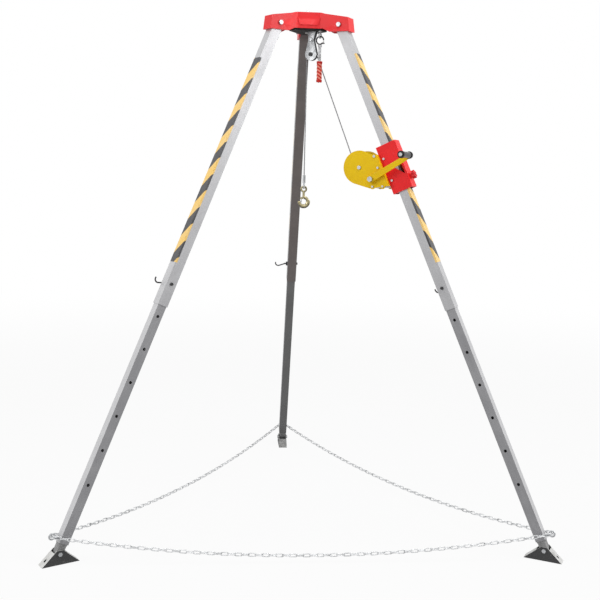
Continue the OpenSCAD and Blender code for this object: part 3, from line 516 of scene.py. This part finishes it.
def layTape(side):
    bm = bmesh.new()
    uv = bm.loops.layers.uv.new("tapeUV")
    mirror = 1 if side == "right" else -1
    flat, layers = {}, []
    for lift in (tape["lift"], tape["lift"] + tape["thick"]):
        layers.append([])
        for z in tape["run"][side]:
            row = []
            for x, y, u in tapeSection(lift):
                row.append(bm.verts.new(onLeg(side, x, y, z)))
                flat[row[-1]] = (mirror * u, z + tape["start"][side])
            layers[-1].append(row)
    (lowTop, lowFoot), (top, foot) = layers
    for k in range(len(top) - 1):
        for a, b in ((top, foot), (lowTop, lowFoot), (top, lowTop), (foot, lowFoot)):
            bm.faces.new((a[k], a[k + 1], b[k + 1], b[k]))
    for k in (0, -1):
        bm.faces.new((top[k], foot[k], lowFoot[k], lowTop[k]))
    for face in bm.faces:
        for loop in face.loops:
            loop[uv].uv = flat[loop.vert]
    bmesh.ops.recalc_face_normals(bm, faces=bm.faces)
    mesh = bpy.data.meshes.new("hazardTape_" + side)
    bm.to_mesh(mesh)
    bm.free()
    mesh.materials.append(finish["hazard"])
    piece = addPiece("hazardTape_" + side, mesh)
    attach(piece, "upper_" + side)


for side in sides:
    layTape(side)
print("hazard tape laid")


# wire rope: strands laid round the rope's centre line

rope = {"diameter": 0.005, "strands": 6, "lay": 0.034, "perLay": 14, "sides": 6,
        "sheaveRadius": 0.022, "sheaveDrop": 0.120, "end": 0.664, "arcSteps": 24, "lineSteps": 20,
        "windRadius": 0.033, "drumIn": 0.140, "drumDown": 0.606, "windPitch": 0.0056, "loops": 5}


def smoothLine(points, step):
    points = np.array([tuple(p) for p in points], float)
    lengths = np.r_[0, np.cumsum(np.linalg.norm(np.diff(points, axis=0), axis=1))]
    count = max(4, int(round(lengths[-1] / step)))
    t = np.linspace(0, lengths[-1], count + 1)
    return np.stack([np.interp(t, lengths, points[:, k]) for k in range(3)], axis=1), t


def alongFrames(line):
    ahead = np.gradient(line, axis=0)
    ahead /= np.linalg.norm(ahead, axis=1)[:, None]
    first = np.cross(ahead[0], (0.31, 0.87, 0.21))  # any direction that no rope runs in
    normals = [first / np.linalg.norm(first)]
    for a in ahead[1:]:
        n = normals[-1] - a * (normals[-1] @ a)
        normals.append(n / np.linalg.norm(n))
    normals = np.array(normals)
    return normals, np.cross(ahead, normals)


def twistStrands(name, points, finishName, diameter, strands, lay, sides, step, core=True, start=0.0):
    line, t = smoothLine(points, step)
    n, b = alongFrames(line)
    verts, faces, uvs = [], [], []
    strandR = diameter / 2 * math.sin(math.pi / strands) / (1 + math.sin(math.pi / strands))
    ringR = diameter / 2 - strandR
    swell, coreFill = 1.04, 0.92  # strands press a little into each other
    rounds = [(ringR, strandR * swell, 2 * math.pi * k / strands + start) for k in range(strands)]
    if core:
        rounds.append((0.0, ringR * coreFill, 0.0))
    for far, r, first in rounds:
        base = len(verts)
        turn = first + 2 * math.pi * t / lay
        centre = line + far * (np.cos(turn)[:, None] * n + np.sin(turn)[:, None] * b)
        sn, sb = alongFrames(centre)
        for k in range(len(t)):
            for j in range(sides):
                a = 2 * math.pi * j / sides
                verts.append(centre[k] + r * (math.cos(a) * sn[k] + math.sin(a) * sb[k]))
                uvs.append((j / sides, t[k]))
        for k in range(len(t) - 1):
            for j in range(sides):
                m = (j + 1) % sides
                this, following = base + k * sides, base + (k + 1) * sides
                faces.append((this + j, this + m, following + m, following + j))
        last = base + (len(t) - 1) * sides
        faces.append(tuple(base + j for j in range(sides))[::-1])
        faces.append(tuple(last + j for j in range(sides)))
    mesh = bpy.data.meshes.new(name)
    mesh.from_pydata([tuple(v) for v in verts], [], faces)
    layer = mesh.uv_layers.new(name="layUV")
    for loop in mesh.loops:
        layer.data[loop.index].uv = uvs[loop.vertex_index]
    bm = bmesh.new()
    bm.from_mesh(mesh)
    bmesh.ops.recalc_face_normals(bm, faces=bm.faces)
    bm.to_mesh(mesh)
    bm.free()
    mesh.shade_smooth()
    mesh.materials.append(finish[finishName])
    return addPiece(name, mesh)


def ropeRoute():
    t = math.radians(tripod["tilt"])
    hz = tripod["hingeHeight"]
    drumOut = tripod["hingeRadius"] + rope["drumDown"] * math.sin(t) - rope["drumIn"] * math.cos(t)
    drumUp = hz - rope["drumDown"] * math.cos(t) - rope["drumIn"] * math.sin(t)
    sheaveUp = hz - rope["sheaveDrop"]
    dx, dz = drumOut - rope["sheaveRadius"], drumUp - sheaveUp
    span = math.hypot(dx, dz)
    leave = math.atan2(dz, dx) + math.pi / 2 - math.asin((rope["sheaveRadius"] + rope["windRadius"]) / span)

    def spot(out, up, r, a):
        return onAzimuth("right", out + r * math.cos(a), 0, up + r * math.sin(a))

    arcSteps, lineSteps = rope["arcSteps"], rope["lineSteps"]
    top = []
    for k in range(arcSteps + 1):
        a = math.pi + (leave - math.pi) * k / arcSteps
        top.append(spot(rope["sheaveRadius"], sheaveUp, rope["sheaveRadius"], a))
    meet = spot(drumOut, drumUp, rope["windRadius"], leave + math.pi)
    foot = onAzimuth("right", 0, 0, hz - rope["end"])
    line = [top[-1].lerp(meet, k / lineSteps) for k in range(lineSteps + 1)]
    hang = [top[0].lerp(foot, k / lineSteps) for k in range(lineSteps + 1)]
    first = leave + math.pi - t
    wound = []
    for k in range(rope["loops"] * arcSteps + 1):
        a = first + 2 * math.pi * k / arcSteps
        out = -rope["drumIn"] + rope["windRadius"] * math.cos(a)
        up = -rope["drumDown"] + rope["windRadius"] * math.sin(a)
        wound.append(onLeg("right", out, k / arcSteps * rope["windPitch"], up))
    return top, line, hang, wound


def runLength(points):
    return sum((b - a).length for a, b in zip(points, points[1:]))


def layRope():
    top, line, hang, wound = ropeRoute()
    d = rope["diameter"]
    routes = {"ropeOnSheave": top, "ropeLine": line, "ropeHanging": hang, "ropeWinding": wound}
    parts = {}
    for name, points in routes.items():
        parts[name] = twistStrands(name, points, "wire", d, rope["strands"], rope["lay"], rope["sides"],
                                   rope["lay"] / rope["perLay"])
    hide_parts("rope_on_sheave")
    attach(parts["ropeOnSheave"], "head")
    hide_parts("rope_line")
    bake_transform(parts["ropeLine"])
    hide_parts("rope_hanging")
    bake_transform(parts["ropeHanging"])
    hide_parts("rope_winding")
    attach(parts["ropeWinding"], "drum")
    runLength(wound)
    runLength(line)
    runLength(top)
    runLength(hang)


layRope()
print("wire rope laid")


# red laid tail on the snap hook

tail = {"diameter": 0.0235, "strands": 3, "lay": -0.046, "length": 0.086, "inset": 0.002, "start": 0.6,
        "whip": 0.0254, "whipLength": 0.009, "whipInset": 0.0005, "whipTurns": 5, "whipSink": 0.0009,
        "whipFill": 0.52, "sides": 12, "step": 0.003}


def layTail():
    low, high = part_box("rope_tail")
    x, y = (low.x + high.x) / 2, (low.y + high.y) / 2
    points = [Vector((x, y, high.z - tail["inset"] - tail["length"] * k / 10)) for k in range(11)]
    piece = twistStrands("redTail", points, "fibre", tail["diameter"], tail["strands"], tail["lay"],
                         tail["sides"], tail["step"], core=False, start=tail["start"])
    bm = bmesh.new()
    bm.from_mesh(piece.data)
    deep, shallow, turns = tail["whipLength"], tail["whipInset"], tail["whipTurns"]
    for z0, z1 in ((high.z - deep, high.z - shallow), (low.z + shallow, low.z + deep)):  # whippings
        for k in range(turns):
            z = z0 + (z1 - z0) * (k + 0.5) / turns
            thick = (z1 - z0) / turns * tail["whipFill"]
            ring(bm, Vector((x, y, z)), tail["whip"] / 2 - tail["whipSink"], thick)
    bmesh.ops.recalc_face_normals(bm, faces=bm.faces)
    bm.to_mesh(piece.data)
    bm.free()
    piece.data.shade_smooth()
    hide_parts("rope_tail")
    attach(piece, "snap")


def ring(bm, centre, r, thick, around=28, sides=6):
    verts = []
    for k in range(around):
        a = 2 * math.pi * k / around
        for j in range(sides):
            b = 2 * math.pi * j / sides
            out = r + thick * math.cos(b)
            offset = Vector((out * math.cos(a), out * math.sin(a), thick * math.sin(b)))
            verts.append(bm.verts.new(centre + offset))
    for k in range(around):
        for j in range(sides):
            this, following, m = k * sides, (k + 1) % around * sides, (j + 1) % sides
            bm.faces.new((verts[this + j], verts[following + j], verts[following + m], verts[this + m]))


layTail()
print("red tail laid")


# chain: links set on points by a node tree, one mesh for each stretch

chain = {"wire": 0.004, "width": 0.015, "pitch": 0.026, "slack": 0.0006, "sag": 0.076, "spanTurn": 150.0,
         "eyeOver": 0.050, "eyeOut": 0.050, "seat": 0.0002, "held": 0.02}  # held: metres short of the eye


def linkTree():
    tree = bpy.data.node_groups.new("chainLinks", "GeometryNodeTree")
    for label, kind in (("Geometry", "Geometry"), ("Link length", "Float"), ("Link width", "Float"),
                        ("Wire", "Float"), ("Finish", "Material")):
        tree.interface.new_socket(label, in_out="INPUT", socket_type="NodeSocket" + kind)
    tree.interface.new_socket("Geometry", in_out="OUTPUT", socket_type="NodeSocketGeometry")

    def add(kind, settings=None, values=None):
        n = tree.nodes.new(kind)
        for key, value in (settings or {}).items():
            setattr(n, key, value)
        for key, value in (values or {}).items():
            if isinstance(value, bpy.types.NodeSocket):
                tree.links.new(value, n.inputs[key])
            else:
                n.inputs[key].default_value = value
        return n

    given = add("NodeGroupInput").outputs
    less, times = {"operation": "SUBTRACT"}, {"operation": "MULTIPLY"}
    length = add("ShaderNodeMath", less, {0: given["Link length"], 1: given["Wire"]}).outputs[0]
    width = add("ShaderNodeMath", less, {0: given["Link width"], 1: given["Wire"]}).outputs[0]
    corner = add("ShaderNodeMath", times, {0: width, 1: 0.4999}).outputs[0]
    thick = add("ShaderNodeMath", times, {0: given["Wire"], 1: 0.5}).outputs[0]
    box = add("GeometryNodeCurvePrimitiveQuadrilateral", {"mode": "RECTANGLE"},
              {"Width": length, "Height": width}).outputs[0]
    bend = add("GeometryNodeFilletCurve", {"mode": "POLY"},
               {"Curve": box, "Count": 3, "Radius": corner}).outputs[0]
    section = add("GeometryNodeCurvePrimitiveCircle", {"mode": "RADIUS"},
                  {"Resolution": 6, "Radius": thick}).outputs[0]
    link = add("GeometryNodeCurveToMesh", {}, {"Curve": bend, "Profile Curve": section}).outputs[0]
    smooth = add("GeometryNodeSetShadeSmooth", {}, {"Geometry": link}).outputs[0]
    turn = add("GeometryNodeInputNamedAttribute", {"data_type": "FLOAT_VECTOR"},
               {"Name": "turn"}).outputs["Attribute"]
    turned = add("FunctionNodeEulerToRotation", {}, {"Euler": turn}).outputs[0]
    spread = add("GeometryNodeInstanceOnPoints", {},
                 {"Points": given["Geometry"], "Instance": smooth, "Rotation": turned}).outputs[0]
    real = add("GeometryNodeRealizeInstances", {}, {"Geometry": spread}).outputs[0]
    done = add("GeometryNodeSetMaterial", {}, {"Geometry": real, "Material": given["Finish"]}).outputs[0]
    add("NodeGroupOutput", {}, {"Geometry": done})
    return tree


def chainLinks(linkStep, linkHalf, count, eyeOut, eyeUp):  # (out, across, up, yaw, pitch, roll) of each link
    bend = (chain["width"] - chain["wire"]) / 2
    lap = (chain["wire"] + chain["slack"]) / 2
    places = [(eyeOut, 0.0, eyeUp, 90.0, 0.0, 180.0)]  # the link in the eye lies flat
    for way in (1, -1):
        for k in range((count + 1) // 2):
            if way < 0 and k == (count - 1) // 2:
                continue
            t = (k + 0.5) / count
            run = bend - lap + t * count * linkStep
            sagged = -4 * chain["sag"] * t * (1 - t)
            slope = math.degrees(math.atan(-4 * chain["sag"] * (1 - 2 * t) / (count * linkStep)))
            a = math.radians(way * chain["spanTurn"])
            places.append((eyeOut + run * math.cos(a), way * linkHalf + run * math.sin(a), eyeUp + sagged,
                           way * chain["spanTurn"], -slope, 90.0 if k % 2 == 0 else 180.0))
    return places


def layChain():
    t = math.radians(tripod["tilt"])
    s = tripod["pivotAlong"] - chain["eyeOver"]
    eyeOut = tripod["hingeRadius"] + s * math.sin(t) + chain["eyeOut"] * math.cos(t) - chain["seat"]
    eyeUp = tripod["hingeHeight"] - s * math.cos(t) + chain["eyeOut"] * math.sin(t)
    bend = (chain["width"] - chain["wire"]) / 2
    lap = (chain["wire"] + chain["slack"]) / 2
    count = math.floor(eyeOut * math.sqrt(3) / chain["pitch"] / 2) * 2 - 1
    linkStep = (eyeOut * math.sqrt(3) - bend + lap) / (count + 0.5)
    linkHalf = linkStep / 2 + lap - bend
    tree = linkTree()
    sockets = {item.name: item.identifier for item in tree.interface.items_tree if item.in_out == "INPUT"}
    places = chainLinks(linkStep, linkHalf, count, eyeOut, eyeUp)
    middle, quarter = eyeOut / 2, eyeOut * 0.75
    near = [p for p in places if p[0] >= quarter]
    far = [p for p in places if p[0] < quarter]
    for side in sides:
        stretches = (("Near", near, ("lower_" + side, "upper_" + side), (eyeOut - chain["held"], quarter)),
                     ("Far", far, ("upper_" + side, "head"), (quarter, middle)))
        for label, group, bodies, ends in stretches:
            mesh = bpy.data.meshes.new("chain" + label + "_" + side)
            mesh.from_pydata([tuple(onAzimuth(side, *p[:3])) for p in group], [], [])
            turn = mesh.attributes.new("turn", "FLOAT_VECTOR", "POINT")
            for k, p in enumerate(group):
                spin = Matrix.Identity(3)
                for angle, axis in zip((tripod["azimuth"][side] + p[3], p[4], p[5]), "ZYX"):
                    spin = spin @ Matrix.Rotation(math.radians(angle), 3, axis)
                turn.data[k].vector = tuple(spin.to_euler("XYZ"))
            piece = addPiece("chain" + label + "_" + side, mesh)
            links = piece.modifiers.new("links", "NODES")
            links.node_group = tree
            links[sockets["Link length"]] = linkStep + 2 * chain["wire"] + chain["slack"]
            links[sockets["Link width"]] = chain["width"]
            links[sockets["Wire"]] = chain["wire"]
            links[sockets["Finish"]] = finish["chain"]
            bakeModifiers(piece)
            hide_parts("chain_" + side)
            start, end = (tuple(onAzimuth(side, out, 0, eyeUp)) for out in ends)
            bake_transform(piece)


layChain()
print("chain laid")


# floor, light and sky

studio = {"floor": (0.60, 0.60, 0.60), "floorHalf": 30, "glow": 0.93, "fade": (2.2, 8.0), "sky": 0.36}
lamps = (  # place, aim, size, power
    ("rightSoftbox", (4.2, -2.4, 3.2), (0, -0.3, 1.2), 2.6, 122),
    ("leftSoftbox", (-4.4, -2.0, 3.0), (0, -0.3, 1.2), 2.6, 108),
    ("topSoftbox", (0.4, -1.6, 5.2), (0, -0.3, 0.8), 3.0, 84),
)


def seen(s):  # camera, glossy and transmission rays see the white ground
    rays = s.node("ShaderNodeLightPath").owner.outputs
    kinds = ("Is Camera Ray", "Is Glossy Ray", "Is Transmission Ray")
    camera, glossy, through = (Shade(s.tree, rays[k]) for k in kinds)
    return (camera + glossy + through).held(0, 1)


def makeStudio():
    mesh = bpy.data.meshes.new("floor")
    r = studio["floorHalf"]
    mesh.from_pydata([(-r, -r, 0), (r, -r, 0), (r, r, 0), (-r, r, 0)], [], [(0, 1, 2, 3)])
    mat, s = newFinish("paleFloor")
    matt = s.node("ShaderNodeBsdfDiffuse", {}, {"Color": studio["floor"]})
    glow = s.node("ShaderNodeEmission", {}, {"Color": (1, 1, 1), "Strength": 1.0})
    away = s.node("ShaderNodeVectorMath", {"operation": "LENGTH"}, {0: s.place()}, give=1).step(*studio["fade"])
    share = (studio["glow"] + (1 - studio["glow"]) * away) * seen(s)
    both = s.node("ShaderNodeMixShader", {}, {0: share, 1: matt, 2: glow})
    s.node("ShaderNodeOutputMaterial", {}, {"Surface": both})
    mesh.materials.append(mat)
    addPiece("floor", mesh)
    world = bpy.data.worlds.new("studioSky")
    bpy.context.scene.world = world
    world.use_nodes = True
    world.node_tree.nodes.clear()
    s = Shade(world.node_tree)
    strength = studio["sky"] + (1 - studio["sky"]) * seen(s)
    sky = s.node("ShaderNodeBackground", {}, {"Color": (1, 1, 1), "Strength": strength})
    s.node("ShaderNodeOutputWorld", {}, {"Surface": sky})
    for label, spot, aim, size, power in lamps:
        light = bpy.data.lights.new(label, "AREA")
        light.size, light.energy = size, power
        lamp = bpy.data.objects.new(label, light)
        lamp.location = spot
        lamp.rotation_euler = (Vector(aim) - Vector(spot)).to_track_quat("-Z", "Y").to_euler()
        bpy.context.scene.collection.objects.link(lamp)


makeStudio()
bpy.context.scene.view_settings.view_transform = "Standard"
print("studio set")
